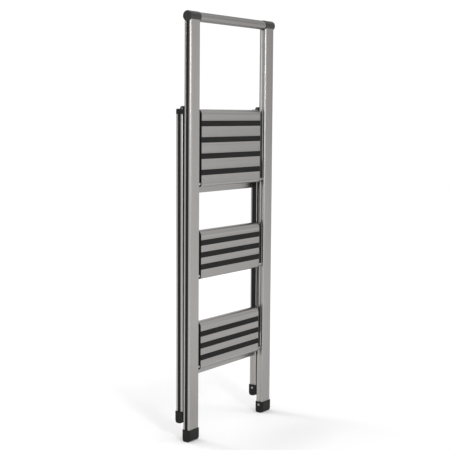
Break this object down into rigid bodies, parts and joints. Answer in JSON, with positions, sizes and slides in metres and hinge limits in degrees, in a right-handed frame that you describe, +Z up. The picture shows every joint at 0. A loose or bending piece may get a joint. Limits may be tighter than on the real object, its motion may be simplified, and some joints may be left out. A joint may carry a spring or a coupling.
{
  "type": "step ladder",
  "caption": "Slim folding aluminium step ladder with flat treads, dark grip strips, a rear support frame and a raised tube handrail; the treads and rear frame swing open together.",
  "frame": {"origin": "on the floor under the middle of the folded ladder's bounding box", "axes": "+Z up along the rails, +X to the right across the treads, -Y towards the user who climbs the ladder"},
  "size_m": [0.4276, 0.0524, 1.1697],
  "materials": {
    "rail": "satin anodised extrusion",
    "tread": "satin anodised extrusion with fine lengthways lines",
    "tube": "satin anodised tube",
    "trim": "matt black strip",
    "black_plastic": "black moulded plastic, fine grain",
    "foot": "black rubbery plastic",
    "grip": "black ribbed grip strip",
    "link": "black painted steel",
    "rivet": "bright rivet"
  },
  "bodies": {
    "front_frame": {"left_front_rail": "rail", "right_front_rail": "rail", "left_front_rail_trim": "trim", "right_front_rail_trim": "trim", "handle_tube": "tube", "left_handle_cap": "black_plastic", "right_handle_cap": "black_plastic", "left_front_foot": "foot", "right_front_foot": "foot", "front_foot_rivets": "rivet", "left_hinge_bracket": "black_plastic", "right_hinge_bracket": "black_plastic", "bracket_rivets": "rivet", "hinge_pins": "rivet", "pivot_spacers": "rivet", "top_tread_pins": "rivet", "middle_tread_pins": "rivet", "lower_tread_pins": "rivet"},
    "rear_frame": {"left_rear_leg": "rail", "right_rear_leg": "rail", "left_rear_leg_trim": "trim", "right_rear_leg_trim": "trim", "upper_rear_bar": "rail", "lower_rear_bar": "rail", "rear_bar_rivets": "rivet", "left_rear_foot": "foot", "right_rear_foot": "foot", "rear_foot_rivets": "rivet", "left_hinge_cap": "black_plastic", "right_hinge_cap": "black_plastic", "left_leg_plug": "black_plastic", "right_leg_plug": "black_plastic"},
    "top_tread": {"top_tread_board": "tread", "top_tread_grip_strips": "grip", "left_top_tread_end_cap": "black_plastic", "right_top_tread_end_cap": "black_plastic", "top_tread_link_studs": "rivet", "left_platform_saddle": "black_plastic", "right_platform_saddle": "black_plastic", "saddle_screws": "rivet"},
    "middle_tread": {"middle_tread_board": "tread", "middle_tread_grip_strips": "grip", "left_middle_tread_end_cap": "black_plastic", "right_middle_tread_end_cap": "black_plastic", "middle_tread_link_studs": "rivet"},
    "lower_tread": {"lower_tread_board": "tread", "lower_tread_grip_strips": "grip", "left_lower_tread_end_cap": "black_plastic", "right_lower_tread_end_cap": "black_plastic", "lower_tread_link_studs": "rivet"},
    "left_link": {"left_link_bar": "link"},
    "right_link": {"right_link_bar": "link"}
  },
  "joints": [
    {"name": "rear_frame_fold", "type": "hinge", "parent": "front_frame", "child": "rear_frame", "pos_m": [0, 0.00536, 0.9112], "axis": [1, 0, 0], "range_deg": [0, 36]},
    {"name": "top_tread_fold", "type": "hinge", "parent": "front_frame", "child": "top_tread", "pos_m": [0, -0.01164, 0.7065], "axis": [-1, 0, 0], "range_deg": [0, 67.67]},
    {"name": "middle_tread_fold", "type": "hinge", "parent": "front_frame", "child": "middle_tread", "pos_m": [0, -0.01164, 0.4531], "axis": [-1, 0, 0], "range_deg": [0, 67.67]},
    {"name": "lower_tread_fold", "type": "hinge", "parent": "front_frame", "child": "lower_tread", "pos_m": [0, -0.01164, 0.1997], "axis": [-1, 0, 0], "range_deg": [0, 67.67]},
    {"name": "left_link_pivot", "type": "hinge", "parent": "top_tread", "child": "left_link", "pos_m": [-0.155, 0.00436, 0.7545], "axis": [1, 0, 0], "range_deg": [0, 67.67]},
    {"name": "right_link_pivot", "type": "hinge", "parent": "top_tread", "child": "right_link", "pos_m": [0.155, 0.00436, 0.7545], "axis": [1, 0, 0], "range_deg": [0, 67.67]}
  ],
  "couplings": [
    {"joint": "top_tread_fold", "follows": "rear_frame_fold", "ratio": 1.8794},
    {"joint": "middle_tread_fold", "follows": "rear_frame_fold", "ratio": 1.8794},
    {"joint": "lower_tread_fold", "follows": "rear_frame_fold", "ratio": 1.8794},
    {"joint": "left_link_pivot", "follows": "rear_frame_fold", "ratio": 1.8794},
    {"joint": "right_link_pivot", "follows": "rear_frame_fold", "ratio": 1.8794}
  ]
}
